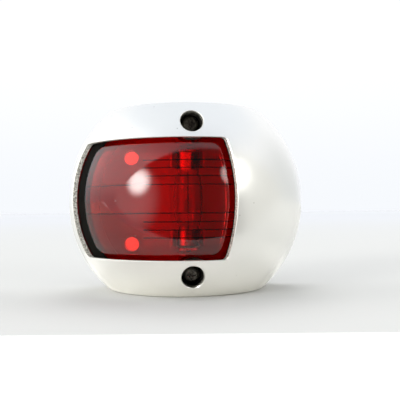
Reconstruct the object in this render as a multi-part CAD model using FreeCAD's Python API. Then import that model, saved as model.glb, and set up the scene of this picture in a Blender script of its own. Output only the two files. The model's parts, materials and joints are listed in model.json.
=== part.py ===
import FreeCAD, Part
import math
import os

# A port side light for a small boat: a polished cast steel dome over a plastic base,
# with a red lens that shows over a little more than a quarter turn, and a tubular
# (festoon) lamp held upright between two spring contacts.
#
# Frame: X to the right, Z up, Y into the wall. The wall face is the plane Y = 0, the
# light stands out of it towards -Y, and the origin is the centre of the wall face.
# "Reach" means a distance out of the wall, so a reach r lies at Y = -r.

V = FreeCAD.Vector
ACROSS = V(1, 0, 0)
OUT = V(0, -1, 0)
UP = V(0, 0, 1)

# ---- overall sizes, millimetres ----
DOME_RADIUS = 43.0           # the dome is half a ball
FLAT_HALF_HEIGHT = 32.0      # the ball is cut flat above and below
SKIRT = 1.5                  # straight edge between the dome and the wall gasket
HOUSING_WALL = 1.5
OUTER_ROUND = 1.4            # round along the edge of each flat
INNER_ROUND = 0.8

# ---- wall gasket and base ----
GASKET_THICKNESS = 1.5
GASKET_INSET = 0.4           # the gasket stays this far inside the housing's outline
BASE_FLOOR = 2.5
BASE_FIT = 0.4               # gap between the base and the housing around it
RING_OUTER_RADIUS = 36.0     # raised stiffening ring on the base
RING_INNER_RADIUS = 32.5
RING_HEIGHT = 1.5
MOUNT_X = 20.4               # mounting holes, from the middle
MOUNT_Z = 16.2
MOUNT_HOLE_RADIUS = 2.7
PEDESTAL_MARGIN = 2.2        # the block under the lamp contacts is this much wider each side
PEDESTAL_HEIGHT = 2.0
PEDESTAL_END = 1.6           # and this much longer at each end
CHEEK_THICKNESS = 0.8        # upright cheeks at each side of the lamp's two ends
CHEEK_BELOW_LAMP = 1.0       # how far short of the lamp's axis the cheeks end
CHEEK_FROM_CONTACT = 0.6

# ---- cable inlet ----
CABLE_X = 24.0
CABLE_Z = 0.0
GROMMET_BORE_RADIUS = 2.4
GROMMET_WALL = 1.6
GROMMET_FLANGE_RIM = 1.6
GROMMET_FLANGE = 1.2
GROMMET_NOSE = 2.2
GROMMET_NOSE_TAPER = 0.6
GROMMET_FIT = 0.05
GROMMET_BACK_INSET = 0.3

# ---- lamp ----
LAMP_REACH = 16.0            # lamp axis, out of the wall
LAMP_SHOULDER = 16.0         # half length over the cylindrical caps
TIP_LENGTH = 2.3             # each pointed end, past the cap
CAP_RADIUS = 4.25
CAP_LENGTH = 7.8
CAP_WALL = 0.3
TIP_ROOT_RADIUS = 2.4        # narrower than the cap
TIP_END_RADIUS = 0.6
GLASS_BULGE = 0.9            # the glass is this much fatter than its caps
GLASS_NECK = 1.2             # straight glass between each cap and the barrel
GLASS_WALL = 0.6
GLASS_IN_CAP = 2.6           # how far the glass reaches into each cap
GLASS_FIT = 0.06
FILAMENT_RADIUS = 0.45
FILAMENT_SHORT_OF_CAP = 1.6
LEAD_RADIUS = 0.2
LEAD_FIT = 0.03

# ---- lamp contacts ----
CONTACT_THICKNESS = 0.6
CONTACT_WIDTH = 8.0
CONTACT_FOOT_LENGTH = 8.2
CONTACT_PAST_LAMP = 4.1      # how far the free end stands out past the lamp's axis
CONTACT_FROM_CAP = 0.7
CONTACT_HOLE_FIT = 0.08
BEND_GAP = 0.05              # between the foot and the part that flexes
TERMINAL_FROM_BEND = 4.7
TERMINAL_RADIUS = 1.5
TERMINAL_HEAD_RIM = 1.25
TERMINAL_HEAD = 1.7
TERMINAL_DEPTH = 3.6         # thread length below the foot
TERMINAL_SLOT_WIDTH = 0.8
TERMINAL_SLOT_DEPTH = 0.9
CLAMP_THICKNESS = 0.8
CLAMP_LIP = 0.7
HOLE_CLEARANCE = 0.15

# ---- housing screws and their wells ----
SCREW_FROM_FLAT = 7.2        # from each flat of the housing to the screw's axis
WELL_WALL = 2.3
WELL_DEPTH = 10.73           # along the screw's axis, from the ball to the seat
WELL_ROOM = 0.9              # round the screw's head
WELL_FLOOR = 1.6
WASHER_FIT = 0.25
WASHER_THICKNESS = 0.8
SCREW_RADIUS = 1.5
SCREW_LENGTH = 16.0
SCREW_HEAD_RIM = 1.3
SCREW_HEAD = 2.4
SCREW_HEAD_ROUND = 0.9
SCREW_SHOULDER_OUT = 0.82    # a point on the head's round, as a share of the head's radius
SCREW_SHOULDER_DOWN = 0.28   # and below the top, as a share of the round's height
SCREW_HEAD_CROWN = 0.45      # flat middle of the head, as a share of its radius
SCREW_POINT = 0.6            # radius of the screw's end, as a share of the thread's
THREAD_PITCH = 0.5
THREAD_DEPTH = 0.27
CROSS_SPAN = 3.3
CROSS_WIDTH = 0.85
CROSS_DEPTH = 1.5
CROSS_WING_DEPTH = 1.05      # the four wings are shallower than the point in the middle
CROSS_POINT_RADIUS = 0.2
CROSS_POINT_MOUTH = 1.05
PILLAR_WALL = 2.1
PILLAR_GAP = 0.3             # the screws pull the housing down on the gasket first
INSERT_WALL = 0.9
INSERT_LENGTH = 8.0
INSERT_FIT = 0.03
THREAD_FIT = 0.05
SCREW_END_ROOM = 1.0

# ---- window, lens and lens seal ----
WINDOW_HALF_HEIGHT = 19.4
WINDOW_ANGLE = 24.0          # where the window ends, past straight out, seen from the lamp
WINDOW_OFFSET = 0.3          # shift of that edge to the right of the lamp's own line
WINDOW_BOW = 0.9             # how far that edge bows out at mid height
WINDOW_LEFT_REACH = 18.3     # the left rim of the housing stands this far out
WINDOW_CORNER = 1.6
WINDOW_EDGE_BREAK = 0.2      # bevel round the window and the mouth of each screw well
LENS_FACE_BELOW_DOME = 1.6
LENS_FACE_ABOVE_FLANGE = 1.2
LENS_FLANGE_THICKNESS = 1.9
LENS_STEP_GAP = 1.7          # from the window's edge to the foot of the raised face
LENS_FACE_FROM_RIM = 6.1     # from the left rim out to the foot of the raised face
LENS_CORNER = 3.0            # corners of the raised face
LENS_FACE_ROUND = 0.4
LENS_OVERLAP = 1.7           # how far the flange reaches under the housing
FLANGE_BELOW_RIM = 5.3       # the flange's left edge, behind the left rim
LIP_THICKNESS = 0.45
LIP_GAP = 0.1
LIP_FOOT = 1.6
LIP_BELOW_RIM = 0.3
FLANGE_CORNER = 1.0
SEAL_FIT = 0.05
SEAL_INNER_GROW = 0.4        # inner edge of the seal, hidden behind the window's edge
SEAL_OUTER_GROW = 1.5
SEAL_LEFT_THICKNESS = 0.6
WELL_NOTCH = 0.3             # gap between the lens or seal and a screw well
PRISM_STEPS = (4.3, 6.9, 9.4, 11.8, 14.2)   # heights where the lens's prisms change
PRISM_DEPTH = 0.42
PRISM_START_X = -15.0        # the stepped prisms begin here; the middle band runs on
BULLSEYE_BULGE = 0.5
PRISM_ROOT = 0.8             # how far each prism is let into the lens

# ---- places worked out from the sizes ----
DOME_REACH = GASKET_THICKNESS + SKIRT
DOME_CENTRE = OUT * DOME_REACH
INNER_RADIUS = DOME_RADIUS - HOUSING_WALL
INNER_HALF_HEIGHT = FLAT_HALF_HEIGHT - HOUSING_WALL
FLOOR_REACH = GASKET_THICKNESS + BASE_FLOOR
PEDESTAL_REACH = FLOOR_REACH + PEDESTAL_HEIGHT
FAR = 2 * DOME_RADIUS
SCREW_Z = FLAT_HALF_HEIGHT - SCREW_FROM_FLAT
SCREW_HEAD_RADIUS = SCREW_RADIUS + SCREW_HEAD_RIM
WELL_BORE_RADIUS = SCREW_HEAD_RADIUS + WELL_ROOM
WELL_RADIUS = WELL_BORE_RADIUS + WELL_WALL
WASHER_RADIUS = WELL_BORE_RADIUS - WASHER_FIT
WELL_SEAT_REACH = DOME_REACH + math.sqrt(DOME_RADIUS ** 2 - SCREW_Z ** 2) - WELL_DEPTH
INSERT_RADIUS = SCREW_RADIUS + INSERT_WALL
PILLAR_RADIUS = INSERT_RADIUS + PILLAR_WALL
LENS_FACE_RADIUS = DOME_RADIUS - LENS_FACE_BELOW_DOME
LENS_FLANGE_RADIUS = LENS_FACE_RADIUS - LENS_FACE_ABOVE_FLANGE
LENS_INNER_RADIUS = LENS_FLANGE_RADIUS - LENS_FLANGE_THICKNESS
SEAL_LEFT_RADIUS = LENS_FLANGE_RADIUS + SEAL_FIT + SEAL_LEFT_THICKNESS
LENS_LEFT_REACH = WINDOW_LEFT_REACH + LENS_FACE_FROM_RIM
LENS_BOTTOM_REACH = WINDOW_LEFT_REACH - FLANGE_BELOW_RIM
GROMMET_BODY_RADIUS = GROMMET_BORE_RADIUS + GROMMET_WALL
GROMMET_FLANGE_RADIUS = GROMMET_BODY_RADIUS + GROMMET_FLANGE_RIM
GROMMET_NOSE_RADIUS = GROMMET_BODY_RADIUS - GROMMET_NOSE_TAPER
GLASS_RADIUS = CAP_RADIUS + GLASS_BULGE
LAMP_TIP = LAMP_SHOULDER + TIP_LENGTH
FILAMENT_HALF_LENGTH = LAMP_SHOULDER - CAP_LENGTH - FILAMENT_SHORT_OF_CAP
TERMINAL_HEAD_RADIUS = TERMINAL_RADIUS + TERMINAL_HEAD_RIM
CLAMP_SIDE = 2 * (TERMINAL_HEAD_RADIUS + HOLE_CLEARANCE + CLAMP_THICKNESS)
PEDESTAL_HALF_WIDTH = CONTACT_WIDTH / 2 + PEDESTAL_MARGIN
WELL_BOTTOM_REACH = WELL_SEAT_REACH - WELL_FLOOR
PILLAR_REACH = WELL_BOTTOM_REACH - PILLAR_GAP
HEAD_REACH = WELL_SEAT_REACH + WASHER_THICKNESS
SCREW_END_REACH = HEAD_REACH - SCREW_LENGTH
CONTACT_INNER_Z = LAMP_SHOULDER + CONTACT_FROM_CAP
CONTACT_MID_Z = CONTACT_INNER_Z + CONTACT_THICKNESS / 2
PEDESTAL_HALF_LENGTH = CONTACT_INNER_Z + PEDESTAL_END
TERMINAL_Z = CONTACT_MID_Z - TERMINAL_FROM_BEND


def tube(centre, axis, radius, length, bore=0.0):
    """A cylinder from centre along axis, with a bore if one is given."""
    body = Part.makeCylinder(radius, length, centre, axis)
    if bore > 0:
        body = body.cut(Part.makeCylinder(bore, length, centre, axis))
    return body


def block(x0, x1, reach0, reach1, z0, z1):
    """A box between two X values, two reaches and two heights."""
    return Part.makeBox(x1 - x0, reach1 - reach0, z1 - z0, V(x0, -reach1, z0))


def ball(radius):
    return Part.makeSphere(radius, DOME_CENTRE)


def chain(points):
    """Edges through points, closed. A point given as (through, end) makes an arc."""
    edges = []
    here = points[0]
    for step in points[1:]:
        if isinstance(step, tuple):
            edges.append(Part.Arc(here, step[0], step[1]).toShape())
            here = step[1]
        else:
            edges.append(Part.LineSegment(here, step).toShape())
            here = step
    if here.distanceToPoint(points[0]) > 1e-6:
        edges.append(Part.LineSegment(here, points[0]).toShape())
    return Part.Face(Part.Wire(edges))


def dome_outline_corner(radius, half_height, round_radius):
    """The round where the ball meets a flat: its centre and its two ends, as (x, z)."""
    centre_z = half_height - round_radius
    centre_x = math.sqrt((radius - round_radius) ** 2 - centre_z ** 2)
    share = radius / (radius - round_radius)
    on_ball = (centre_x * share, centre_z * share)
    on_flat = (centre_x, half_height)
    middle = math.atan2(centre_z, centre_x) / 2 + math.pi / 4
    through = (
        centre_x + round_radius * math.cos(middle),
        centre_z + round_radius * math.sin(middle),
    )
    return on_flat, through, on_ball


def dome_body(radius, half_height, round_radius, skirt):
    """Half a ball cut flat above and below, with a straight skirt behind it."""
    flat, through, on_ball = dome_outline_corner(radius, half_height, round_radius)

    def at(x, z):
        return DOME_CENTRE + V(x, 0, z)

    half = chain([
        at(0, -half_height),
        at(flat[0], -half_height),
        (at(through[0], -through[1]), at(on_ball[0], -on_ball[1])),
        (at(radius, 0), at(*on_ball)),
        (at(*through), at(*flat)),
        at(0, half_height),
    ])
    front = half.revolve(DOME_CENTRE, UP, -180)
    outline = chain([
        at(-flat[0], -half_height),
        at(flat[0], -half_height),
        (at(through[0], -through[1]), at(on_ball[0], -on_ball[1])),
        (at(radius, 0), at(*on_ball)),
        (at(*through), at(*flat)),
        at(-flat[0], half_height),
        (at(-through[0], through[1]), at(-on_ball[0], on_ball[1])),
        (at(-radius, 0), at(-on_ball[0], -on_ball[1])),
        (at(-through[0], -through[1]), at(-flat[0], -half_height)),
    ])
    return front.fuse(outline.extrude(OUT * -skirt)).removeSplitter()


def window_region(grow, left_reach, corner):
    """The space that the window opens, grown all round by grow, from left_reach outwards."""
    half_height = WINDOW_HALF_HEIGHT + grow
    turn = math.radians(WINDOW_ANGLE)
    ahead = V(math.sin(turn), -math.cos(turn), 0)
    side = V(math.cos(turn), math.sin(turn), 0)
    lamp = OUT * LAMP_REACH
    edge = WINDOW_OFFSET + grow
    slant = corner * (1 - math.sqrt(0.5))

    def at(across, up):
        return lamp + side * across + UP * up

    sheet = chain([
        at(-FAR, -half_height),
        at(edge - corner, -half_height),
        (at(edge - slant, -half_height + slant), at(edge, -half_height + corner)),
        (at(edge + WINDOW_BOW, 0), at(edge, half_height - corner)),
        (at(edge - slant, half_height - slant), at(edge - corner, half_height)),
        at(-FAR, half_height),
    ])
    right = sheet.extrude(ahead * FAR)

    def beside(reach, up):
        return V(-FAR, -reach, up)

    end = chain([
        beside(left_reach + corner, -half_height),
        beside(FAR, -half_height),
        beside(FAR, half_height),
        beside(left_reach + corner, half_height),
        (beside(left_reach + slant, half_height - slant),
         beside(left_reach, half_height - corner)),
        beside(left_reach, -half_height + corner),
        (beside(left_reach + slant, -half_height + slant),
         beside(left_reach + corner, -half_height)),
    ])
    left = end.extrude(ACROSS * FAR)
    return right.fuse(left).removeSplitter()


def screw_wells(radius, near_reach, far_reach):
    """A cylinder on each housing screw's axis."""
    return [tube(V(0, -near_reach, side * SCREW_Z), OUT, radius, far_reach - near_reach)
            for side in (1, -1)]


def on_ball(edge, radius):
    """Whether an edge lies on the dome's ball."""
    points = edge.discretize(5)
    return all(abs(p.distanceToPoint(DOME_CENTRE) - radius) < 1e-3 for p in points)


def opening_edges(shell):
    """Edges where the window and the screw wells break through the dome's skin."""
    limit = FLAT_HALF_HEIGHT - OUTER_ROUND - WINDOW_EDGE_BREAK
    edges = []
    for edge in shell.Edges:
        box = edge.BoundBox
        inside_flats = max(-box.ZMin, box.ZMax) < limit
        in_front = edge.CenterOfMass.y < -DOME_REACH - WINDOW_EDGE_BREAK
        if inside_flats and in_front and on_ball(edge, DOME_RADIUS):
            edges.append(edge)
    return edges


def make_housing():
    outer = dome_body(DOME_RADIUS, FLAT_HALF_HEIGHT, OUTER_ROUND, SKIRT)
    inner = dome_body(INNER_RADIUS, INNER_HALF_HEIGHT, INNER_ROUND, SKIRT)
    shell = outer.cut(inner)
    for side, well in zip((1, -1), screw_wells(WELL_RADIUS, WELL_BOTTOM_REACH, FAR)):
        web = block(-WELL_RADIUS, WELL_RADIUS, WELL_BOTTOM_REACH, FAR,
                    min(side * SCREW_Z, side * FAR), max(side * SCREW_Z, side * FAR))
        shell = shell.fuse(well.fuse(web).common(outer))
    opening = window_region(0, WINDOW_LEFT_REACH, WINDOW_CORNER).cut(ball(LENS_INNER_RADIUS - SEAL_FIT))
    shell = shell.cut(opening)
    for bore in screw_wells(WELL_BORE_RADIUS, WELL_SEAT_REACH, FAR):
        shell = shell.cut(bore)
    for bore in screw_wells(SCREW_RADIUS + HOLE_CLEARANCE, WELL_BOTTOM_REACH - WELL_FLOOR, FAR):
        shell = shell.cut(bore)
    shell = shell.removeSplitter()
    return shell.makeChamfer(WINDOW_EDGE_BREAK, opening_edges(shell))


def prism_rings():
    """The stepped prisms on the inside of the lens, as rings round the dome's upright axis."""
    def at(radius, up):
        return DOME_CENTRE + V(radius, 0, up)

    def inner_radius(up):
        return math.sqrt(LENS_INNER_RADIUS ** 2 - up ** 2)

    rings = []
    first = PRISM_STEPS[0]
    edge = inner_radius(first)
    bullseye = chain([
        at(edge + PRISM_ROOT, -first),
        at(edge, -first),
        (at(inner_radius(0) - BULLSEYE_BULGE, 0), at(edge, first)),
        at(edge + PRISM_ROOT, first),
    ])
    rings.append(bullseye.revolve(DOME_CENTRE, UP, 360))
    beyond_start = block(PRISM_START_X, FAR, 0, FAR, -FAR, FAR)
    for low, high in zip(PRISM_STEPS[:-1], PRISM_STEPS[1:]):
        for side in (1, -1):
            prism = chain([
                at(inner_radius(low) + PRISM_ROOT, side * low),
                at(inner_radius(low) - PRISM_DEPTH, side * low),
                at(inner_radius(high), side * high),
                at(inner_radius(high) + PRISM_ROOT, side * high),
            ])
            rings.append(prism.revolve(DOME_CENTRE, UP, 360).common(beyond_start))
    return rings


def lens_flange_region():
    return window_region(LENS_OVERLAP, LENS_BOTTOM_REACH, FLANGE_CORNER)


def ball_area(face):
    return face.Area if isinstance(face.Surface, Part.Sphere) else 0


def make_lens():
    raised_zone = window_region(-LENS_STEP_GAP, LENS_LEFT_REACH, LENS_CORNER)
    raised = ball(LENS_FACE_RADIUS).common(raised_zone)
    face = max(raised.Faces, key=ball_area)
    raised = raised.makeFillet(LENS_FACE_ROUND, face.Edges)
    flange = ball(LENS_FLANGE_RADIUS).common(lens_flange_region())
    lens = raised.fuse(flange)

    lip_radius = INNER_RADIUS - LIP_GAP
    lip_region = block(-FAR, 0, LENS_BOTTOM_REACH, WINDOW_LEFT_REACH - LIP_BELOW_RIM,
                       -WINDOW_HALF_HEIGHT, WINDOW_HALF_HEIGHT)
    groove_region = block(-FAR, 0, LENS_BOTTOM_REACH + LIP_FOOT, FAR, -FAR, FAR)
    lip = ball(lip_radius).common(lip_region)
    lip = lip.cut(ball(lip_radius - LIP_THICKNESS).common(groove_region))
    lens = lens.fuse(lip)

    lens = lens.cut(ball(LENS_INNER_RADIUS))
    for ring in prism_rings():
        lens = lens.fuse(ring.common(raised_zone))
    for well in screw_wells(WELL_RADIUS + WELL_NOTCH, 0, FAR):
        lens = lens.cut(well)
    return lens.removeSplitter()


def make_lens_seal():
    outer_left = LENS_BOTTOM_REACH + LIP_FOOT + SEAL_FIT
    frame = window_region(SEAL_OUTER_GROW, outer_left, FLANGE_CORNER)
    frame = frame.cut(window_region(SEAL_INNER_GROW, LENS_LEFT_REACH - SEAL_FIT, WINDOW_CORNER))
    thick = ball(INNER_RADIUS - SEAL_FIT).cut(ball(LENS_FLANGE_RADIUS + SEAL_FIT)).common(frame)
    beside_window = block(-FAR, 0, 0, LENS_LEFT_REACH, -WINDOW_HALF_HEIGHT, WINDOW_HALF_HEIGHT)
    thick = thick.cut(beside_window)
    strip = ball(SEAL_LEFT_RADIUS).cut(ball(LENS_FLANGE_RADIUS + SEAL_FIT))
    strip = strip.common(frame).common(beside_window)
    seal = thick.fuse(strip)
    for well in screw_wells(WELL_RADIUS + WELL_NOTCH, 0, FAR):
        seal = seal.cut(well)
    return seal.removeSplitter()


def mounting_holes():
    return [tube(V(x, 1, z), OUT, MOUNT_HOLE_RADIUS, FLOOR_REACH + 2)
            for x in (-MOUNT_X, MOUNT_X) for z in (-MOUNT_Z, MOUNT_Z)]


def cable_hole():
    return tube(V(CABLE_X, 1, CABLE_Z), OUT, GROMMET_BODY_RADIUS, FLOOR_REACH + 2)


def slab(radius, half_height, reach0, reach1):
    """A flat plate with the housing's outline."""
    disc = tube(OUT * reach0, OUT, radius, reach1 - reach0)
    return disc.common(block(-FAR, FAR, reach0, reach1, -half_height, half_height))


def make_wall_gasket():
    sheet = slab(DOME_RADIUS - GASKET_INSET, FLAT_HALF_HEIGHT - GASKET_INSET, 0, GASKET_THICKNESS)
    for hole in mounting_holes() + [cable_hole()]:
        sheet = sheet.cut(hole)
    return sheet


def cheeks():
    """Thin walls that stand beside each end of the lamp, as four blocks."""
    reach = LAMP_REACH - CHEEK_BELOW_LAMP
    near_end = LAMP_SHOULDER - CAP_LENGTH
    far_end = CONTACT_INNER_Z - CHEEK_FROM_CONTACT
    walls = []
    for x in (-PEDESTAL_HALF_WIDTH, PEDESTAL_HALF_WIDTH - CHEEK_THICKNESS):
        for low, high in ((near_end, far_end), (-far_end, -near_end)):
            walls.append(block(x, x + CHEEK_THICKNESS, PEDESTAL_REACH, reach, low, high))
    return walls


def make_base_plate():
    radius = INNER_RADIUS - BASE_FIT
    half_height = INNER_HALF_HEIGHT - BASE_FIT
    plate = slab(radius, half_height, GASKET_THICKNESS, FLOOR_REACH)
    ring = tube(OUT * FLOOR_REACH, OUT, RING_OUTER_RADIUS, RING_HEIGHT, RING_INNER_RADIUS)
    plate = plate.fuse(ring.common(block(-FAR, FAR, 0, FAR, -half_height, half_height)))
    plate = plate.fuse(block(-PEDESTAL_HALF_WIDTH, PEDESTAL_HALF_WIDTH, FLOOR_REACH,
                             PEDESTAL_REACH, -PEDESTAL_HALF_LENGTH, PEDESTAL_HALF_LENGTH))
    for cheek in cheeks():
        plate = plate.fuse(cheek)
    for pillar in screw_wells(PILLAR_RADIUS, FLOOR_REACH, PILLAR_REACH):
        plate = plate.fuse(pillar)
    for seat in screw_wells(INSERT_RADIUS + INSERT_FIT, PILLAR_REACH - INSERT_LENGTH, FAR):
        plate = plate.cut(seat)
    for room in screw_wells(SCREW_RADIUS + HOLE_CLEARANCE, SCREW_END_REACH - SCREW_END_ROOM, FAR):
        plate = plate.cut(room)
    for side in (1, -1):
        plate = plate.cut(tube(V(0, -PEDESTAL_REACH, side * TERMINAL_Z), OUT * -1,
                               TERMINAL_RADIUS + THREAD_FIT, TERMINAL_DEPTH + THREAD_FIT))
    for hole in mounting_holes() + [cable_hole()]:
        plate = plate.cut(hole)
    return plate.removeSplitter()


def make_insert(side):
    start = V(0, -(PILLAR_REACH - INSERT_LENGTH), side * SCREW_Z)
    body = tube(start, OUT, INSERT_RADIUS, INSERT_LENGTH, SCREW_RADIUS + THREAD_FIT)
    waist = tube(start + OUT * (INSERT_LENGTH * 0.4), OUT, INSERT_RADIUS + 1,
                 INSERT_LENGTH * 0.2, INSERT_RADIUS - 0.3)
    return body.cut(waist)


def make_grommet():
    start = V(CABLE_X, -GROMMET_BACK_INSET, CABLE_Z)
    body = tube(start, OUT, GROMMET_BODY_RADIUS - GROMMET_FIT, FLOOR_REACH - GROMMET_BACK_INSET)
    front = V(CABLE_X, -FLOOR_REACH, CABLE_Z)
    body = body.fuse(tube(front, OUT, GROMMET_FLANGE_RADIUS, GROMMET_FLANGE))
    nose = Part.makeCone(GROMMET_BODY_RADIUS, GROMMET_NOSE_RADIUS, GROMMET_NOSE,
                         front + OUT * GROMMET_FLANGE, OUT)
    body = body.fuse(nose)
    length = FLOOR_REACH - GROMMET_BACK_INSET + GROMMET_FLANGE + GROMMET_NOSE
    return body.cut(tube(start, OUT, GROMMET_BORE_RADIUS, length)).removeSplitter()


def lamp_point(radius, up):
    return OUT * LAMP_REACH + V(radius, 0, up)


def make_lamp_glass():
    neck_radius = CAP_RADIUS - CAP_WALL - GLASS_FIT
    cap_edge = LAMP_SHOULDER - CAP_LENGTH
    end = cap_edge + GLASS_IN_CAP
    neck = cap_edge - GLASS_NECK

    def outline(shrink, end_up):
        end_radius = neck_radius - shrink
        return chain([
            lamp_point(0, -end_up),
            lamp_point(end_radius, -end_up),
            lamp_point(end_radius, -neck),
            (lamp_point(GLASS_RADIUS - shrink, 0), lamp_point(end_radius, neck)),
            lamp_point(end_radius, end_up),
            lamp_point(0, end_up),
        ])

    axis = OUT * LAMP_REACH
    body = outline(0, end).revolve(axis, UP, 360)
    hollow = outline(GLASS_WALL, end - GLASS_WALL).revolve(axis, UP, 360)
    lead_hole = tube(lamp_point(0, -end - 1), UP, LEAD_RADIUS + LEAD_FIT, 2 * end + 2)
    return body.cut(hollow).cut(lead_hole)


def make_lamp_cap(side):
    open_end = LAMP_SHOULDER - CAP_LENGTH
    inside = CAP_RADIUS - CAP_WALL

    def at(radius, up):
        return lamp_point(radius, side * up)

    section = chain([
        at(inside, open_end),
        at(CAP_RADIUS, open_end),
        at(CAP_RADIUS, LAMP_SHOULDER - CAP_WALL),
        (at(CAP_RADIUS - CAP_WALL * 0.3, LAMP_SHOULDER - CAP_WALL * 0.3),
         at(CAP_RADIUS - CAP_WALL, LAMP_SHOULDER)),
        at(TIP_ROOT_RADIUS, LAMP_SHOULDER),
        at(TIP_END_RADIUS, LAMP_TIP),
        at(0, LAMP_TIP),
        at(0, LAMP_SHOULDER - CAP_WALL),
        at(inside, LAMP_SHOULDER - CAP_WALL),
    ])
    return section.revolve(OUT * LAMP_REACH, UP, 360)


def make_filament():
    return tube(lamp_point(0, -FILAMENT_HALF_LENGTH), UP, FILAMENT_RADIUS, 2 * FILAMENT_HALF_LENGTH)


def make_lamp_leads():
    length = LAMP_SHOULDER - CAP_WALL - FILAMENT_HALF_LENGTH
    return [tube(lamp_point(0, side * FILAMENT_HALF_LENGTH), UP * side, LEAD_RADIUS, length)
            for side in (1, -1)]


def make_contact_foot(side):
    end = CONTACT_MID_Z - CONTACT_THICKNESS / 2 - BEND_GAP
    start = end - CONTACT_FOOT_LENGTH
    half = CONTACT_WIDTH / 2
    foot = block(-half, half, PEDESTAL_REACH, PEDESTAL_REACH + CONTACT_THICKNESS,
                 min(side * start, side * end), max(side * start, side * end))
    return foot.cut(tube(V(0, -PEDESTAL_REACH, side * TERMINAL_Z), OUT,
                         TERMINAL_RADIUS + HOLE_CLEARANCE, CONTACT_THICKNESS))


def bend_reach():
    return PEDESTAL_REACH + CONTACT_THICKNESS / 2 + BEND_GAP / 2


def tip_radius_at(up):
    slope = (TIP_ROOT_RADIUS - TIP_END_RADIUS) / (LAMP_TIP - LAMP_SHOULDER)
    return TIP_ROOT_RADIUS - slope * (up - LAMP_SHOULDER)


def make_contact_blade(side):
    half = CONTACT_WIDTH / 2
    bend = bend_reach()
    middle = side * CONTACT_MID_Z
    top = LAMP_REACH + CONTACT_PAST_LAMP
    root = Part.makeCylinder(CONTACT_THICKNESS / 2, CONTACT_WIDTH, V(-half, -bend, middle), ACROSS)
    strip = block(-half, half, bend, top,
                  middle - CONTACT_THICKNESS / 2, middle + CONTACT_THICKNESS / 2)
    corners = [e for e in strip.Edges if abs(e.Length - CONTACT_THICKNESS) < 1e-6
               and e.CenterOfMass.y < -top + 0.01]
    blade = strip.makeFillet(half * 0.45, corners).fuse(root)
    hole_radius = tip_radius_at(CONTACT_INNER_Z) + CONTACT_HOLE_FIT
    hole = tube(V(0, -LAMP_REACH, middle - CONTACT_THICKNESS), UP, hole_radius, 2 * CONTACT_THICKNESS)
    return blade.cut(hole).removeSplitter()


def make_wire_clamp(side):
    near = PEDESTAL_REACH + CONTACT_THICKNESS
    half = CLAMP_SIDE / 2
    middle = side * TERMINAL_Z
    plate = block(-half, half, near, near + CLAMP_THICKNESS, middle - half, middle + half)
    lips = [block(x, x + CLAMP_THICKNESS, near + CLAMP_THICKNESS,
                  near + CLAMP_THICKNESS + CLAMP_LIP, middle - half, middle + half)
            for x in (-half, half - CLAMP_THICKNESS)]
    plate = plate.fuse(lips[0]).fuse(lips[1])
    return plate.cut(tube(V(0, -near, middle), OUT, TERMINAL_RADIUS + HOLE_CLEARANCE,
                          CLAMP_THICKNESS)).removeSplitter()


def make_terminal_screw(side):
    under_head = PEDESTAL_REACH + CONTACT_THICKNESS + CLAMP_THICKNESS
    end = PEDESTAL_REACH - TERMINAL_DEPTH
    middle = side * TERMINAL_Z
    head = tube(V(0, -under_head, middle), OUT, TERMINAL_HEAD_RADIUS, TERMINAL_HEAD)
    rim = [e for e in head.Edges if abs(e.CenterOfMass.y + under_head + TERMINAL_HEAD) < 1e-6]
    head = head.makeFillet(0.35, rim)
    shank = tube(V(0, -end, middle), OUT, TERMINAL_RADIUS, under_head - end)
    top = under_head + TERMINAL_HEAD
    slot = block(-FAR, FAR, top - TERMINAL_SLOT_DEPTH, top + 1,
                 middle - TERMINAL_SLOT_WIDTH / 2, middle + TERMINAL_SLOT_WIDTH / 2)
    return head.fuse(shank).cut(slot).removeSplitter()


def make_screw_washer(side):
    return tube(V(0, -WELL_SEAT_REACH, side * SCREW_Z), OUT, WASHER_RADIUS, WASHER_THICKNESS,
                SCREW_RADIUS + HOLE_CLEARANCE / 2)


def make_housing_screw(side):
    base = V(0, 0, side * SCREW_Z)

    def at(radius, reach):
        return base + V(radius, -reach, 0)

    top = HEAD_REACH + SCREW_HEAD
    round_start = top - SCREW_HEAD_ROUND
    turns = int((SCREW_LENGTH - 2 * THREAD_PITCH) / THREAD_PITCH)
    thread = []
    for k in range(turns):
        low = SCREW_END_REACH + THREAD_PITCH * (k + 1)
        thread.append(at(SCREW_RADIUS - THREAD_DEPTH, low))
        thread.append(at(SCREW_RADIUS, low + THREAD_PITCH / 2))
    section = chain(
        [at(0, SCREW_END_REACH), at(SCREW_RADIUS * SCREW_POINT, SCREW_END_REACH)]
        + thread
        + [
            at(SCREW_RADIUS - THREAD_DEPTH, HEAD_REACH),
            at(SCREW_HEAD_RADIUS, HEAD_REACH),
            at(SCREW_HEAD_RADIUS, round_start),
            (at(SCREW_HEAD_RADIUS * SCREW_SHOULDER_OUT, top - SCREW_HEAD_ROUND * SCREW_SHOULDER_DOWN),
             at(SCREW_HEAD_RADIUS * SCREW_HEAD_CROWN, top)),
            at(0, top),
        ])
    screw = section.revolve(base, OUT, 360)
    for wide, tall in ((CROSS_SPAN, CROSS_WIDTH), (CROSS_WIDTH, CROSS_SPAN)):
        arm = block(-wide / 2, wide / 2, top - CROSS_WING_DEPTH, top + CROSS_DEPTH,
                    base.z - tall / 2, base.z + tall / 2)
        screw = screw.cut(arm)
    bottom = V(0, -(top - CROSS_DEPTH), base.z)
    point = Part.makeCone(CROSS_POINT_RADIUS, CROSS_POINT_MOUTH, CROSS_DEPTH, bottom, OUT)
    return screw.cut(point)


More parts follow.
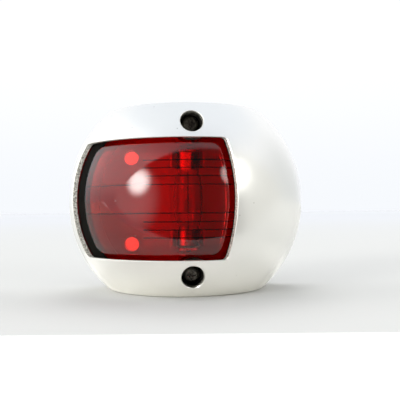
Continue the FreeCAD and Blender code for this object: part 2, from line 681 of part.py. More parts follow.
def build():
    """Every piece, as name: one solid or a list of solids."""
    pieces = {
        "housing": make_housing(),
        "lens": make_lens(),
        "lens_seal": make_lens_seal(),
        "wall_gasket": make_wall_gasket(),
        "base_plate": make_base_plate(),
        "cable_grommet": make_grommet(),
        "lamp_glass": make_lamp_glass(),
        "lamp_filament": make_filament(),
        "lamp_lead_wires": make_lamp_leads(),
    }
    for name, side in (("upper", 1), ("lower", -1)):
        pieces[name + "_lamp_cap"] = make_lamp_cap(side)
        pieces[name + "_contact_foot"] = make_contact_foot(side)
        pieces[name + "_contact_blade"] = make_contact_blade(side)
        pieces[name + "_wire_clamp"] = make_wire_clamp(side)
        pieces[name + "_terminal_screw"] = make_terminal_screw(side)
        pieces[name + "_threaded_insert"] = make_insert(side)
        pieces[name + "_screw_washer"] = make_screw_washer(side)
        pieces[name + "_housing_screw"] = make_housing_screw(side)
    return pieces


def write(pieces):
    os.makedirs("parts", exist_ok=True)
    for name, made in sorted(pieces.items()):
        solids = []
        for shape in made if isinstance(made, list) else [made]:
            solids += shape.Solids
        shape = solids[0] if len(solids) == 1 else Part.makeCompound(solids)
        if not shape.isValid() or not solids:
            raise ValueError(name + " is not a valid solid")
        shape.exportStep("parts/" + name + ".step")
        box = shape.BoundBox
        print("%-24s solids %d  volume %9.2f  x %6.1f %6.1f  y %6.1f %6.1f  z %6.1f %6.1f" % (
            name, len(solids), sum(s.Volume for s in solids),
            box.XMin, box.XMax, box.YMin, box.YMax, box.ZMin, box.ZMax))


write(build())
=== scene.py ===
# %% [markdown]
# # A boat's port side light
#
# This lesson dresses a finished mechanical model of a small boat's side light: a polished cast
# steel dome, a red lens with stepped prisms on its inside, and a tubular lamp held upright
# between two spring contacts. The mechanical parts come in as a fixed frame. The cells below
# give each of them a finish, wind a finer filament for the lamp, and set up a white table, soft
# light and a camera.

# %% Load the mechanical model
import bmesh
import bpy
import json
import math
from mathutils import Matrix, Vector


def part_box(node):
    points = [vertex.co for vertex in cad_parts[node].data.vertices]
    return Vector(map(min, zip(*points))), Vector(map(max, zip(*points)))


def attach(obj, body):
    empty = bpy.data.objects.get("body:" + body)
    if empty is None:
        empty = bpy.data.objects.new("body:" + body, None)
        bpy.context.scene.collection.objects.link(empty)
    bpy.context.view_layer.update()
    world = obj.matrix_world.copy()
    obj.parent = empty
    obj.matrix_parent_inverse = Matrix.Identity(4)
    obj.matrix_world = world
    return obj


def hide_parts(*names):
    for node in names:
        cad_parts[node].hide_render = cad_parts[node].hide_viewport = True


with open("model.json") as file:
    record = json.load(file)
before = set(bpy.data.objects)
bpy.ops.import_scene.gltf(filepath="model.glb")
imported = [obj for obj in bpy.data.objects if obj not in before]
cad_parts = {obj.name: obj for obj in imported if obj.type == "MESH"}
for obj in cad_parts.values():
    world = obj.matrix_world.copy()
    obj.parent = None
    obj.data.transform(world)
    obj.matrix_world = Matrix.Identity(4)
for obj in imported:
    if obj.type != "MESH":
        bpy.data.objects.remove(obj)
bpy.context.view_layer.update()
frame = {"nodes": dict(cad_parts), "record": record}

MM = 0.001
nodes = frame["nodes"]

# %% [markdown]
# ## Where things are
#
# The dome is half a ball cut flat above and below. Its centre lies on the upright axis of the
# housing, a dome's radius in from its widest point. Two lengths are enough to place everything
# else: the radius comes from the housing's width, and the centre lies a short straight skirt
# in front of the housing's back edge.

# %% Measure the dome
housing_low, housing_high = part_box("housing")
DOME_RADIUS = (housing_high.x - housing_low.x) / 2
SKIRT = 1.5 * MM
DOME_CENTRE = Vector((0, housing_high.y - SKIRT, 0))
FLOOR = housing_low.z
print("dome radius mm:", round(DOME_RADIUS / MM, 2), " floor mm:", round(FLOOR / MM, 2))

# %% [markdown]
# ## Node helpers
#
# Every finish is a small web of nodes. These first helpers add a node, wire two sockets, and
# feed a socket with either a wire or a plain value, so that later cells don't have to care
# which of the two they were given.

# %% Add, wire and feed nodes
def add(tree, kind, place=(0, 0), **settings):
    node = tree.nodes.new(kind)
    node.location = place
    for name, value in settings.items():
        setattr(node, name, value)
    return node


def wire(tree, source, target):
    tree.links.new(source, target)


def feed(tree, value, socket):
    if isinstance(value, bpy.types.NodeSocket):
        wire(tree, value, socket)
    elif isinstance(value, tuple):
        socket.default_value = (*value, 1)
    else:
        socket.default_value = value


def fill(node, **values):
    for name, value in values.items():
        node.inputs[name.replace("_", " ")].default_value = value
    return node


print("wiring helpers ready")

# %% [markdown]
# ## Sums and mixes
#
# A finish is mostly sums: how far, how much, which of two tones. Each helper below stands for
# one node and returns the socket with its result, so they nest like ordinary functions.
# The one called spread turns a range of values into another range with soft ends, which is how
# a mask gets its edge.

# %% Sums and mixes
def math_node(tree, operation, first, second=None, third=None):
    node = add(tree, "ShaderNodeMath", operation=operation)
    for socket, value in zip(node.inputs, (first, second, third)):
        if value is not None:
            feed(tree, value, socket)
    return node.outputs[0]


def mix_colour(tree, factor, first, second):
    node = add(tree, "ShaderNodeMix", data_type="RGBA")
    for socket, value in zip((node.inputs[0], node.inputs[6], node.inputs[7]),
                             (factor, first, second)):
        feed(tree, value, socket)
    return node.outputs[2]


def blend(tree, factor, first, second):
    node = add(tree, "ShaderNodeMix", data_type="FLOAT")
    for socket, value in zip((node.inputs[0], node.inputs[2], node.inputs[3]),
                             (factor, first, second)):
        feed(tree, value, socket)
    return node.outputs[0]


def spread(tree, value, low, high, to_low=0.0, to_high=1.0):
    node = add(tree, "ShaderNodeMapRange", interpolation_type="SMOOTHSTEP")
    wire(tree, value, node.inputs[0])
    for socket, number in zip(node.inputs[1:5], (low, high, to_low, to_high)):
        socket.default_value = number
    return node.outputs[0]


print("sums ready")

# %% [markdown]
# ## Materials, groups and bumps
#
# A new material comes with a Principled shader, whose plain values are set on its own sockets,
# because a value that never changes has no need of a node. A group is a web that several
# materials share, with named inputs and outputs. A bump turns a height into a change of the
# surface's slope, which is enough for anything finer than a tenth of a millimetre.

# %% Materials, groups and bumps
def new_material(name):
    material = bpy.data.materials.new(name)
    material.use_nodes = True
    tree = material.node_tree
    shader = next(n for n in tree.nodes if n.type == "BSDF_PRINCIPLED")
    return material, tree, shader


def new_group(name, inputs, outputs):
    group = bpy.data.node_groups.new(name, "ShaderNodeTree")
    for title, kind, value in inputs:
        socket = group.interface.new_socket(title, in_out="INPUT", socket_type=kind)
        socket.default_value = value
    for title, kind in outputs:
        group.interface.new_socket(title, in_out="OUTPUT", socket_type=kind)
    start = add(group, "NodeGroupInput", (-900, 0))
    end = add(group, "NodeGroupOutput", (600, 0))
    return group, start, end


def use_group(tree, group, **values):
    return fill(add(tree, "ShaderNodeGroup", node_tree=group), **values)


def bump(tree, height, strength, distance, shader):
    node = fill(add(tree, "ShaderNodeBump"), Strength=strength, Distance=distance)
    wire(tree, height, node.inputs["Height"])
    wire(tree, node.outputs[0], shader.inputs["Normal"])


print("material helpers ready")

# %% [markdown]
# ## A shared group: surface life
#
# No real surface is even. A slow cloud of noise shifts the tone a little from place to place,
# and a quick fine noise gives grain. Because most finishes here want both, they are built once
# as a node group, with the two scales as inputs, and each material takes the cloud or the grain
# it needs.

# %% Build the surface-life group
def build_surface_life():
    group, start, end = new_group(
        "surface life",
        [("Cloud Scale", "NodeSocketFloat", 60.0), ("Grain Scale", "NodeSocketFloat", 2500.0)],
        [("Cloud", "NodeSocketFloat"), ("Grain", "NodeSocketFloat")])
    place = add(group, "ShaderNodeTexCoord")
    for title, detail in (("Cloud", 3.0), ("Grain", 2.0)):
        noise = fill(add(group, "ShaderNodeTexNoise"), Detail=detail, Roughness=0.6)
        wire(group, place.outputs["Object"], noise.inputs["Vector"])
        wire(group, start.outputs[title + " Scale"], noise.inputs["Scale"])
        wire(group, noise.outputs["Fac"], end.inputs[title])
    return group


surface_life = build_surface_life()
print("group:", surface_life.name)

# %% [markdown]
# ## A shared group: specks
#
# Dust and tiny pits are scattered points. A cellular pattern gives a point in each cell, and a
# random number for each cell keeps only a few of them, so the specks don't form a lattice.

# %% Build the specks group
def build_specks():
    group, start, end = new_group(
        "specks",
        [("Scale", "NodeSocketFloat", 700.0), ("Size", "NodeSocketFloat", 0.2),
         ("Share", "NodeSocketFloat", 0.08)],
        [("Speck", "NodeSocketFloat")])
    place = add(group, "ShaderNodeTexCoord")
    cells = add(group, "ShaderNodeTexVoronoi")
    wire(group, place.outputs["Object"], cells.inputs["Vector"])
    wire(group, start.outputs["Scale"], cells.inputs["Scale"])
    near = math_node(group, "LESS_THAN", cells.outputs["Distance"], start.outputs["Size"])
    pick = add(group, "ShaderNodeSeparateColor")
    wire(group, cells.outputs["Color"], pick.inputs[0])
    kept = math_node(group, "LESS_THAN", pick.outputs[0], start.outputs["Share"])
    wire(group, math_node(group, "MULTIPLY", near, kept), end.inputs["Speck"])
    return group


specks = build_specks()
print("group:", specks.name)

# %% [markdown]
# ## Depth below the skin of the ball
#
# The dome and the lens are shells of one ball, so a point's distance from the middle of the ball
# says which surface it is on: the outer skin, a bevelled edge, a flange or the inside. Painting
# by that depth needs no extra mesh and no hand-picked faces. Depths are in millimetres below
# the dome's own skin.

# %% Measure depth
def from_centre(tree):
    distance = add(tree, "ShaderNodeVectorMath", operation="DISTANCE")
    wire(tree, add(tree, "ShaderNodeTexCoord").outputs["Object"], distance.inputs[0])
    distance.inputs[1].default_value = DOME_CENTRE
    return distance.outputs["Value"]


def deeper(tree, distance, start, full):
    """Nought above the depth start, one below the depth full."""
    return spread(tree, distance, DOME_RADIUS - full * MM, DOME_RADIUS - start * MM, 1, 0)


print("depth helpers ready")

# %% [markdown]
# ## Polished cast steel
#
# The dome is cast, ground and polished by hand. The skin keeps a slow wave that bends
# reflections, fine polishing lines and a few pits. The rim of the window is a thin bevel that is
# duller than the skin. Below it the wall is left as cast, grey and grainy, with painted shade that
# darkens it deep inside the wells and the shell. The two sawn flats lie inside the ball too, but
# they are polished, so they are told apart by their height and counted as skin.

# %% Map the steel
EDGE_DEPTHS = (0.09, 0.14)
CAST_DEPTHS = (0.22, 0.32)
# Depths at which the painted shade on the cast wall begins and is full.
PAINTED_SHADE_DEPTHS = (1.8, 4.0)
FLAT_MARGIN = 0.05 * MM
LINE_STRETCH = (6.0, 6.0, 0.35)


def steel_distance(tree, place):
    split = add(tree, "ShaderNodeSeparateXYZ")
    wire(tree, place, split.inputs[0])
    height = math_node(tree, "ABSOLUTE", split.outputs["Z"])
    flat = math_node(tree, "GREATER_THAN", height, -FLOOR - FLAT_MARGIN)
    return math_node(tree, "MAXIMUM", from_centre(tree), flat)


def polishing_lines(tree, place):
    stretch = fill(add(tree, "ShaderNodeMapping"), Scale=LINE_STRETCH)
    lines = fill(add(tree, "ShaderNodeTexNoise"), Scale=240.0, Detail=3.0, Roughness=0.7)
    wire(tree, place, stretch.inputs["Vector"])
    wire(tree, stretch.outputs[0], lines.inputs["Vector"])
    return lines.outputs["Fac"]


print("steel bevel from mm:", EDGE_DEPTHS[0], " cast metal from mm:", CAST_DEPTHS[0])

# %% [markdown]
# ## The steel's shader
#
# The metal itself is a little rough, and a clear coat with a strong, sharp reflection lies over
# it. Together they look like a hand-polished mirror: a soft picture of the room with a crisper
# one on top. The bevel loses the coat and some of its metal look, because it is barely polished.

# %% Make the steel
def make_steel():
    material, tree, shader = new_material("polished_steel")
    place = add(tree, "ShaderNodeTexCoord").outputs["Object"]
    life = use_group(tree, surface_life, Cloud_Scale=38.0, Grain_Scale=3200.0)
    pits = use_group(tree, specks, Scale=420.0, Size=0.07, Share=0.03)
    lines = polishing_lines(tree, place)
    distance = steel_distance(tree, place)
    edge = deeper(tree, distance, *EDGE_DEPTHS)
    cut = deeper(tree, distance, *CAST_DEPTHS)
    painted_shade = deeper(tree, distance, *PAINTED_SHADE_DEPTHS)

    skin = mix_colour(tree, life.outputs["Cloud"], (0.87, 0.865, 0.835), (0.93, 0.925, 0.90))
    skin = mix_colour(tree, pits.outputs["Speck"], skin, (0.42, 0.41, 0.37))
    skin = mix_colour(tree, edge, skin, (0.74, 0.72, 0.65))
    cast = mix_colour(tree, spread(tree, life.outputs["Grain"], 0.38, 0.62),
                      (0.20, 0.19, 0.16), (0.80, 0.79, 0.72))
    # Painted shade: the cast wall darkens deep inside the wells and the shell.
    cast = mix_colour(tree, painted_shade, cast, (0.16, 0.155, 0.13))
    wire(tree, mix_colour(tree, cut, skin, cast), shader.inputs["Base Color"])

    polish = spread(tree, lines, 0.3, 0.7, 0.29, 0.35)
    wire(tree, blend(tree, edge, polish, 0.5), shader.inputs["Roughness"])
    wire(tree, blend(tree, edge, 1.0, 0.35), shader.inputs["Metallic"])
    wire(tree, blend(tree, edge, 1.0, 0.0), shader.inputs["Coat Weight"])
    fill(shader, Coat_Roughness=0.06, Coat_IOR=2.1)

    wave = math_node(tree, "MULTIPLY", life.outputs["Cloud"], 0.5)
    fine = math_node(tree, "MULTIPLY", lines, 0.004)
    grain = math_node(tree, "MULTIPLY", life.outputs["Grain"], cut)
    grain = math_node(tree, "MULTIPLY", grain, 0.35)
    height = math_node(tree, "ADD", math_node(tree, "ADD", wave, fine), grain)
    bump(tree, height, 1.0, 0.15 * MM, shader)
    return material


steel = make_steel()
print("finish:", steel.name)

# %% [markdown]
# ## Where the lens changes
#
# The lens has a raised outer face, a lower flange round it and stepped prisms on its inside. The
# small upright walls between two prisms catch no light from behind, so they show as fine dark
# level lines: the first step runs right across, and the others start where the prisms do. They
# are painted as thin bands of height, on the inner skin only.

# %% Map the lens
FLANGE_DEPTHS = (2.0, 2.3)
INNER_DEPTH = 4.6 * MM
PRISM_STEPS = (4.35, 6.95, 9.45, 11.85)
PRISM_START = -15.0 * MM
LINE_HALF_WIDTH = 0.20 * MM


def prism_lines(tree):
    split = add(tree, "ShaderNodeSeparateXYZ")
    wire(tree, add(tree, "ShaderNodeTexCoord").outputs["Object"], split.inputs[0])
    height = math_node(tree, "ABSOLUTE", split.outputs["Z"])
    lines = math_node(tree, "COMPARE", height, PRISM_STEPS[0] * MM, LINE_HALF_WIDTH)
    beside_lamp = math_node(tree, "GREATER_THAN", split.outputs["X"], PRISM_START)
    for step in PRISM_STEPS[1:]:
        line = math_node(tree, "COMPARE", height, step * MM, LINE_HALF_WIDTH)
        line = math_node(tree, "MULTIPLY", line, beside_lamp)
        lines = math_node(tree, "ADD", lines, line)
    return lines


print("prism steps mm:", PRISM_STEPS)

# %% [markdown]
# ## Red lens plastic
#
# The lens is clear plastic dyed a deep red. White light that goes through it once comes out
# almost pure red, and light that goes in, bounces off the white inside and comes out again is
# deeper still. A glass-like shader with a red tint does both. The raised face is glossy. The
# flange is painted a darker red, as painted shade under the steel rim, and like the inner skin it
# has its reflections tinted black, which leaves the view inside clear. The dark prism lines are
# painted shade too. Faint moulding waves and dust trouble the surface.

# %% Make the red plastic
def make_lens_plastic():
    material, tree, shader = new_material("red_lens")
    life = use_group(tree, surface_life, Cloud_Scale=90.0, Grain_Scale=900.0)
    dust = use_group(tree, specks, Scale=330.0, Size=0.13, Share=0.06)
    distance = from_centre(tree)
    low = deeper(tree, distance, *FLANGE_DEPTHS)
    inside = math_node(tree, "LESS_THAN", distance, DOME_RADIUS - INNER_DEPTH)
    flange = math_node(tree, "MULTIPLY", low, math_node(tree, "SUBTRACT", 1.0, inside))
    lines = math_node(tree, "MULTIPLY", prism_lines(tree), inside)

    dye_and_shade = mix_colour(tree, life.outputs["Cloud"], (0.93, 0.020, 0.012), (0.98, 0.030, 0.018))
    dye_and_shade = mix_colour(tree, dust.outputs["Speck"], dye_and_shade, (0.95, 0.30, 0.25))
    # Painted shade: the flange under the steel rim is a darker red.
    dye_and_shade = mix_colour(tree, flange, dye_and_shade, (0.62, 0.012, 0.010))
    # Painted shade: the prism lines, where the steps catch no light.
    dye_and_shade = mix_colour(tree, lines, dye_and_shade, (0.10, 0.002, 0.002))
    wire(tree, dye_and_shade, shader.inputs["Base Color"])
    wire(tree, spread(tree, life.outputs["Cloud"], 0.3, 0.7, 0.0, 0.03), shader.inputs["Roughness"])
    wire(tree, mix_colour(tree, low, (1.0, 1.0, 1.0), (0.0, 0.0, 0.0)), shader.inputs["Specular Tint"])
    fill(shader, Transmission_Weight=1.0, IOR=1.58)
    bump(tree, life.outputs["Cloud"], 0.15, 0.05 * MM, shader)
    return material


red_plastic = make_lens_plastic()
print("finish:", red_plastic.name)

# %% [markdown]
# ## Black rubber
#
# The seals, washers and the cable grommet are soft black rubber: nearly black, quite dull, with
# a fine grain and a slightly paler bloom in places. Its shine is turned off altogether, because
# even a faint one turns grey where the seal is seen at a flat slant beside the lens.

# %% Make the rubber
def make_rubber():
    material, tree, shader = new_material("black_rubber")
    life = use_group(tree, surface_life, Cloud_Scale=180.0, Grain_Scale=4200.0)
    wire(tree, mix_colour(tree, life.outputs["Cloud"], (0.006, 0.006, 0.006), (0.016, 0.015, 0.013)),
         shader.inputs["Base Color"])
    wire(tree, spread(tree, life.outputs["Grain"], 0.3, 0.7, 0.42, 0.66), shader.inputs["Roughness"])
    shader.inputs["Specular IOR Level"].default_value = 0.0
    bump(tree, life.outputs["Grain"], 0.5, 0.05 * MM, shader)
    return material


rubber = make_rubber()
print("finish:", rubber.name)

# %% [markdown]
# ## White moulded plastic
#
# The base is white plastic with the even, faintly pebbled skin of a moulding. It also acts as
# the reflector behind the lamp, so it has to be bright: what the eye sees through the lens is
# this white, tinted red.

# %% Make the white plastic
def make_white_plastic():
    material, tree, shader = new_material("white_plastic")
    life = use_group(tree, surface_life, Cloud_Scale=120.0, Grain_Scale=3000.0)
    wire(tree, mix_colour(tree, life.outputs["Cloud"], (0.84, 0.83, 0.80), (0.92, 0.91, 0.89)),
         shader.inputs["Base Color"])
    wire(tree, spread(tree, life.outputs["Grain"], 0.3, 0.7, 0.28, 0.42), shader.inputs["Roughness"])
    bump(tree, life.outputs["Grain"], 0.3, 0.03 * MM, shader)
    return material


white_plastic = make_white_plastic()
print("finish:", white_plastic.name)

# %% [markdown]
# ## Small metals
#
# The lamp caps, wire clamps and terminal screws are plated in a dark nickel, the contacts and
# inserts are brass, the housing screws are dark steel, and the filament and its leads are dull
# wire. They share one recipe, with their own colours and roughness, so a short table and one
# function make them all.

# %% Make the small metals
def make_metal(name, dark, light, smooth, rough):
    material, tree, shader = new_material(name)
    life = use_group(tree, surface_life, Cloud_Scale=320.0, Grain_Scale=5200.0)
    wire(tree, mix_colour(tree, spread(tree, life.outputs["Cloud"], 0.35, 0.65), dark, light),
         shader.inputs["Base Color"])
    wire(tree, spread(tree, life.outputs["Grain"], 0.3, 0.7, smooth, rough), shader.inputs["Roughness"])
    shader.inputs["Metallic"].default_value = 1.0
    bump(tree, life.outputs["Grain"], 0.25, 0.02 * MM, shader)
    return material


METALS = {
    "nickel_plate": ((0.36, 0.35, 0.33), (0.50, 0.49, 0.46), 0.20, 0.36),
    "contact_brass": ((0.66, 0.47, 0.20), (0.85, 0.66, 0.34), 0.18, 0.38),
    "screw_steel": ((0.12, 0.11, 0.095), (0.27, 0.25, 0.22), 0.30, 0.50),
    "filament_metal": ((0.16, 0.16, 0.17), (0.34, 0.33, 0.33), 0.35, 0.55),
}
metals = {name: make_metal(name, *values) for name, values in METALS.items()}
print("finishes:", ", ".join(metals))

# %% [markdown]
# ## Lamp glass
#
# Plain clear glass, with hardly any colour. A little unevenness in its surface makes the
# filament behind it waver.

# %% Make the lamp glass
def make_lamp_glass():
    material, tree, shader = new_material("clear_glass")
    life = use_group(tree, surface_life, Cloud_Scale=160.0, Grain_Scale=2000.0)
    wire(tree, mix_colour(tree, life.outputs["Cloud"], (0.93, 0.95, 0.95), (0.99, 1.0, 1.0)),
         shader.inputs["Base Color"])
    fill(shader, Roughness=0.0, Transmission_Weight=1.0, IOR=1.5)
    bump(tree, life.outputs["Cloud"], 0.2, 0.04 * MM, shader)
    return material


lamp_glass = make_lamp_glass()
print("finish:", lamp_glass.name)

# %% [markdown]
# ## Dressing the mechanical parts
#
# Each mechanical part already names the finish it wants in the record, so a loop hands every
# part its material. The meshes themselves are left alone.

# %% Give each part its finish
FINISHES = {
    "polished_steel": steel,
    "red_lens": red_plastic,
    "black_rubber": rubber,
    "white_plastic": white_plastic,
    "clear_glass": lamp_glass,
    **metals,
}
slot_of = {part["node"]: part["material_slot"] for part in frame["record"]["subparts"]}
for name, piece in nodes.items():
    piece.data.materials.clear()
    piece.data.materials.append(FINISHES[slot_of[name]])
print("dressed:", len(nodes))

# %% [markdown]
# ## Winding the filament
#
# The mechanical model has a plain rod for the filament, which is all that its motion needs. The
# real one is a fine wire wound into a coil, with its two ends led back to the middle, where the
# lead wires hold them. A small circle could be spun and lifted round an axis, but a spin keeps
# one radius, and these ends come inwards. So the wire is a curve with a round thickness: its
# points climb evenly while they go round, and the distance from the middle shrinks towards both
# ends. The coil stands in for the rod and rides with the lamp, so it turns when the lamp does.

# %% Wind the filament
WIRE_RADIUS = 0.07 * MM
COIL_TURNS = 26
POINTS_PER_TURN = 8
END_TAPER = 22.0


def coil_points(low, high):
    middle = (low + high) / 2
    coil_radius = (high.x - low.x) / 2 - WIRE_RADIUS
    climb = high.z - low.z - 2 * WIRE_RADIUS
    steps = COIL_TURNS * POINTS_PER_TURN
    for step in range(steps + 1):
        share = step / steps
        radius = coil_radius * min(1.0, END_TAPER * share, END_TAPER * (1 - share))
        angle = math.tau * COIL_TURNS * share
        yield middle + Vector((radius * math.cos(angle), radius * math.sin(angle), climb * (share - 0.5)))


def wind_filament():
    points = list(coil_points(*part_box("lamp_filament")))
    data = bpy.data.curves.new("filament_coil", "CURVE")
    data.dimensions = "3D"
    data.resolution_u = 2
    data.bevel_depth = WIRE_RADIUS
    data.bevel_resolution = 2
    data.use_fill_caps = True
    wire_path = data.splines.new("NURBS")
    wire_path.points.add(len(points) - 1)
    for target, point in zip(wire_path.points, points):
        target.co = (*point, 1)
    wire_path.order_u = 3
    wire_path.use_endpoint_u = True
    coil = bpy.data.objects.new("filament_coil", data)
    bpy.context.scene.collection.objects.link(coil)
    data.materials.append(metals["filament_metal"])
    return coil


coil = wind_filament()
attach(coil, "lamp")
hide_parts("lamp_filament")
print("filament turns:", COIL_TURNS)

# %% [markdown]
# ## The sheets of the table
#
# The light stands on its flat underside on a plain pale table that runs to the horizon. A grid
# of one face is scaled to the table's size and moved to the height of the dome's lower flat. The
# strip nearest the viewer is a sheet of its own that mirrors leave out, as if the table ended
# just in front of the object; otherwise the dome would mirror a white table where it should
# mirror the dark room.

# %% Lay the sheets
TABLE_REACH = 6.0
TABLE_FRONT = -1.5
MIRROR_FRONT = -0.066


def sheet(name, near, far):
    mesh = bmesh.new()
    bmesh.ops.create_grid(mesh, x_segments=1, y_segments=1, size=1.0)
    bmesh.ops.scale(mesh, vec=(TABLE_REACH, (far - near) / 2, 1.0), verts=mesh.verts)
    bmesh.ops.translate(mesh, vec=(0, (far + near) / 2, FLOOR), verts=mesh.verts)
    data = bpy.data.meshes.new(name)
    mesh.to_mesh(data)
    mesh.free()
    obj = bpy.data.objects.new(name, data)
    bpy.context.scene.collection.objects.link(obj)
    return obj


back_sheet = sheet("table_back", MIRROR_FRONT, TABLE_REACH)
front_sheet = sheet("table_front", TABLE_FRONT, MIRROR_FRONT)
front_sheet.visible_glossy = False
print("table laid at mm:", round(FLOOR / MM, 2))

# %% [markdown]
# ## The table's finish
#
# The board is a matt white that cools a little with distance. Its front edge is a straight line
# across the view, turned a few degrees, and in front of it the ground glows plain white, like
# bare paper. A Light Path node tells a camera ray from a mirrored one, so the dome can mirror a
# warmer table, paler close to its foot, without any change to how the table itself looks. This
# mirrored table is a painted reflection, and its paler ring near the foot is painted light over
# the table's real shadow there.

# %% Finish the table
EDGE_HEADING = (0.085, 0.996, 0)
EDGE_AT = -0.088
EDGE_BLUR = 0.002
FOOT_RING = (0.045, 0.085)


def board_tones(tree, place):
    split = add(tree, "ShaderNodeSeparateXYZ")
    wire(tree, place, split.inputs[0])
    away = spread(tree, split.outputs["Y"], -0.1, 1.5)
    white = mix_colour(tree, away, (0.585, 0.585, 0.569), (0.595, 0.604, 0.625))
    reach = add(tree, "ShaderNodeVectorMath", operation="LENGTH")
    wire(tree, place, reach.inputs[0])
    # Painted reflection: mirrors see a warmer table, with painted light near the foot where the real
    # table lies in shadow.
    near = spread(tree, reach.outputs["Value"], *FOOT_RING, 1, 0)
    painted_mirror_tone = mix_colour(tree, near, (0.60, 0.595, 0.565), (0.81, 0.80, 0.755))
    mirrored = add(tree, "ShaderNodeLightPath").outputs["Is Glossy Ray"]
    return mix_colour(tree, mirrored, white, painted_mirror_tone)


def make_table_finish():
    material, tree, shader = new_material("table_white")
    place = add(tree, "ShaderNodeTexCoord").outputs["Object"]
    wire(tree, board_tones(tree, place), shader.inputs["Base Color"])
    ahead = add(tree, "ShaderNodeVectorMath", operation="DOT_PRODUCT")
    wire(tree, place, ahead.inputs[0])
    ahead.inputs[1].default_value = EDGE_HEADING
    bright = spread(tree, ahead.outputs["Value"], EDGE_AT - EDGE_BLUR, EDGE_AT + EDGE_BLUR, 1, 0)
    glow = mix_colour(tree, bright, (0.0, 0.0, 0.0), (1.0, 1.0, 1.0))
    wire(tree, glow, shader.inputs["Emission Color"])
    fill(shader, Emission_Strength=1.0, Roughness=0.9, Specular_IOR_Level=0.1)
    return material


table_finish = make_table_finish()
for board in (back_sheet, front_sheet):
    board.data.materials.append(table_finish)
print("finish:", table_finish.name)

# %% [markdown]
# ## Soft light
#
# The light comes from a white tent: bright cloth above, behind and at the sides, open to the
# front, where the room is darker. In the mirror of the dome and the gloss of the lens, that
# opening shows as a dark eye shape with two bright windows in it. Lamps and planes could build
# such a tent, but painting it on the world by direction is quicker to render and easier to
# place. Each lobe of light is named by a turn, in degrees to the right of straight out, and a
# rise above level.

# %% Point into the tent
def direction(turn, rise):
    a, b = math.radians(turn), math.radians(rise)
    return (math.sin(a) * math.cos(b), -math.cos(a) * math.cos(b), math.sin(b))


def dot_with(tree, vector, axis):
    node = add(tree, "ShaderNodeVectorMath", operation="DOT_PRODUCT")
    wire(tree, vector, node.inputs[0])
    node.inputs[1].default_value = axis
    return node.outputs["Value"]


def window_glow(tree, vector, turn, rise, inner, outer):
    """One within the inner angle of that direction, nought past the outer one."""
    near = dot_with(tree, vector, direction(turn, rise))
    return spread(tree, near, math.cos(math.radians(outer)), math.cos(math.radians(inner)))


print("straight out is:", [round(v, 2) for v in direction(0, 0)])

# %% [markdown]
# ## The tent's opening
#
# The opening has a straight top and bottom, as a doorway has. A ray leaves through it when it
# heads forwards and climbs neither too much nor too little, and how much it climbs is its height
# shared out over its forward part.

# %% Cut the opening
OPENING_TURN = math.radians(12)
OPENING_AXIS = (math.sin(OPENING_TURN), -math.cos(OPENING_TURN), 0)
OPENING_TOP = 1.2
OPENING_BOTTOM = -0.95
SOFT_EDGE = 0.10


def opening(tree, place, height):
    front = dot_with(tree, place, OPENING_AXIS)
    climb = math_node(tree, "DIVIDE", height, math_node(tree, "MAXIMUM", front, 0.001))
    under_top = spread(tree, climb, OPENING_TOP - SOFT_EDGE, OPENING_TOP + SOFT_EDGE, 1, 0)
    over_sill = spread(tree, climb, OPENING_BOTTOM - SOFT_EDGE, OPENING_BOTTOM + SOFT_EDGE)
    between = math_node(tree, "MULTIPLY", under_top, over_sill)
    return math_node(tree, "MULTIPLY", between, spread(tree, front, 0.0, 0.05))


print("opening from slope", OPENING_BOTTOM, "to", OPENING_TOP)

# %% [markdown]
# ## The room beyond
#
# The room is dark straight ahead and paler to the right. A broad haze hangs to the left, round
# the brighter of its two windows. The windows are there for their reflections, so rays that come
# from the matt table hardly see them, and rays that have already gone through glass or the lens
# see them dimmed: otherwise they would cast hard shadows and repeat themselves inside the lens.

# %% Paint the room
IN_LENS_SHARE = 0.22
ON_TABLE_SHARE = 0.12
TABLE_SHADE = 0.8


def paint_room(tree, place, path, inner):
    side = spread(tree, dot_with(tree, place, (1, 0, 0)), 0.45, 0.85)
    room = mix_colour(tree, side, (0.10, 0.09, 0.09), (0.80, 0.80, 0.76))
    haze = window_glow(tree, place, -60, 2, 8, 36)
    room = mix_colour(tree, haze, room, (1.5, 1.5, 1.5))
    matt = path.outputs["Is Diffuse Ray"]
    room = mix_colour(tree, math_node(tree, "MULTIPLY", matt, TABLE_SHADE), room, (0.06, 0.06, 0.06))
    dimming = blend(tree, matt, blend(tree, inner, 1.0, IN_LENS_SHARE), ON_TABLE_SHARE)
    left = math_node(tree, "POWER", window_glow(tree, place, -51, 16, 2, 19), 4.0)
    room = mix_colour(tree, math_node(tree, "MULTIPLY", left, dimming), room, (17.0, 16.9, 16.4))
    right = window_glow(tree, place, 44, 22, 7, 12)
    return mix_colour(tree, math_node(tree, "MULTIPLY", right, dimming), room, (5.5, 5.5, 5.3))


print("windows left at a share of", IN_LENS_SHARE, "inside the lens")

# %% [markdown]
# ## The tent's cloth
#
# The cloth is a cool white that dims a little overhead. The left side glows, which brightens the
# upper left of the dome, and the right side is slightly grey. Three soft lamps shine through the
# cloth, one behind and above and one at each side. They give the table its soft shadow, which is
# deepest just in front of the object, and mirrors leave them out, so the dome stays even.

# %% Paint the cloth
SOFT_LAMPS = ((180, 62, 5.0), (-97, 32, 3.2), (97, 32, 4.0))
LAMP_INNER = 4
LAMP_OUTER = 22


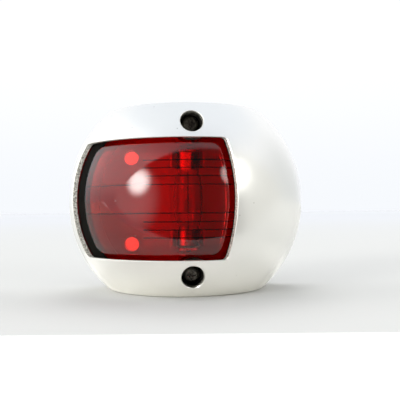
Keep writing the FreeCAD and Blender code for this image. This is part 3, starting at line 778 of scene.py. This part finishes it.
def paint_cloth(tree, place, height, path):
    cloth = mix_colour(tree, spread(tree, height, 0.0, 0.30), (0.93, 0.955, 0.99), (1.02, 1.03, 1.05))
    cloth = mix_colour(tree, spread(tree, height, 0.55, 0.85), cloth, (0.88, 0.925, 0.985))
    glow = spread(tree, dot_with(tree, place, direction(-80, 12)), 0.45, 0.92)
    for band in (spread(tree, height, -0.05, 0.35), spread(tree, height, 0.60, 0.88, 1, 0)):
        glow = math_node(tree, "MULTIPLY", glow, band)
    cloth = mix_colour(tree, glow, cloth, (1.9, 1.9, 1.9))
    grey = spread(tree, dot_with(tree, place, direction(105, -5)), 0.70, 0.97)
    cloth = mix_colour(tree, grey, cloth, (0.74, 0.76, 0.76))
    unmirrored = math_node(tree, "SUBTRACT", 1.0, path.outputs["Is Glossy Ray"])
    for turn, rise, strength in SOFT_LAMPS:
        lamp = window_glow(tree, place, turn, rise, LAMP_INNER, LAMP_OUTER)
        lamp = math_node(tree, "MULTIPLY", lamp, unmirrored)
        cloth = mix_colour(tree, lamp, cloth, (strength, strength, strength))
    return cloth


print("soft lamps:", len(SOFT_LAMPS))

# %% [markdown]
# ## The whole world
#
# The opening chooses between cloth and room. Rays that have gone through the lens find the whole
# tent half as bright again, which stands for the light that a real lens gathers from all round
# and keeps its red from going dull.

# %% Hang the tent
INNER_STRENGTH = 1.5


def make_world():
    world = bpy.data.worlds.new("studio")
    bpy.context.scene.world = world
    world.use_nodes = True
    tree = world.node_tree
    tree.nodes.clear()
    place = add(tree, "ShaderNodeTexCoord").outputs["Generated"]
    split = add(tree, "ShaderNodeSeparateXYZ")
    wire(tree, place, split.inputs[0])
    height = split.outputs["Z"]
    path = add(tree, "ShaderNodeLightPath")
    inner = math_node(tree, "MINIMUM", path.outputs["Transmission Depth"], 1.0)
    cloth = paint_cloth(tree, place, height, path)
    room = paint_room(tree, place, path, inner)
    back = add(tree, "ShaderNodeBackground")
    wire(tree, mix_colour(tree, opening(tree, place, height), cloth, room), back.inputs["Color"])
    wire(tree, blend(tree, inner, 1.0, INNER_STRENGTH), back.inputs["Strength"])
    wire(tree, back.outputs[0], add(tree, "ShaderNodeOutputWorld").inputs[0])
    return world


world = make_world()
print("world:", world.name)

# %% [markdown]
# ## Camera
#
# The viewer is close and low, a little to the left of straight ahead, so the dome looks very
# round and the left rim of its window is seen. Places are shares of the dome's radius, measured
# from the middle of the ball, and the three small turns aim the camera. The plain view transform
# keeps white surfaces white.

# %% Place the camera
FOCAL_LENGTH = 51.3
EYE = Vector((-0.301, -5.0, -0.081)) * DOME_RADIUS
TURN = -0.085
TILT = 0.017
ROLL = -0.009

camera_data = bpy.data.cameras.new("camera")
camera_data.lens = FOCAL_LENGTH
camera_data.clip_start = 0.01
camera = bpy.data.objects.new("camera", camera_data)
camera.location = DOME_CENTRE + EYE
aim = Matrix.Rotation(TURN, 4, "Z") @ Matrix.Rotation(math.pi / 2 + TILT, 4, "X")
camera.rotation_euler = (aim @ Matrix.Rotation(ROLL, 4, "Z")).to_euler()
bpy.context.scene.collection.objects.link(camera)
bpy.context.scene.camera = camera
bpy.context.scene.view_settings.view_transform = "Standard"
print("camera at mm:", [round(v / MM, 1) for v in camera.location])
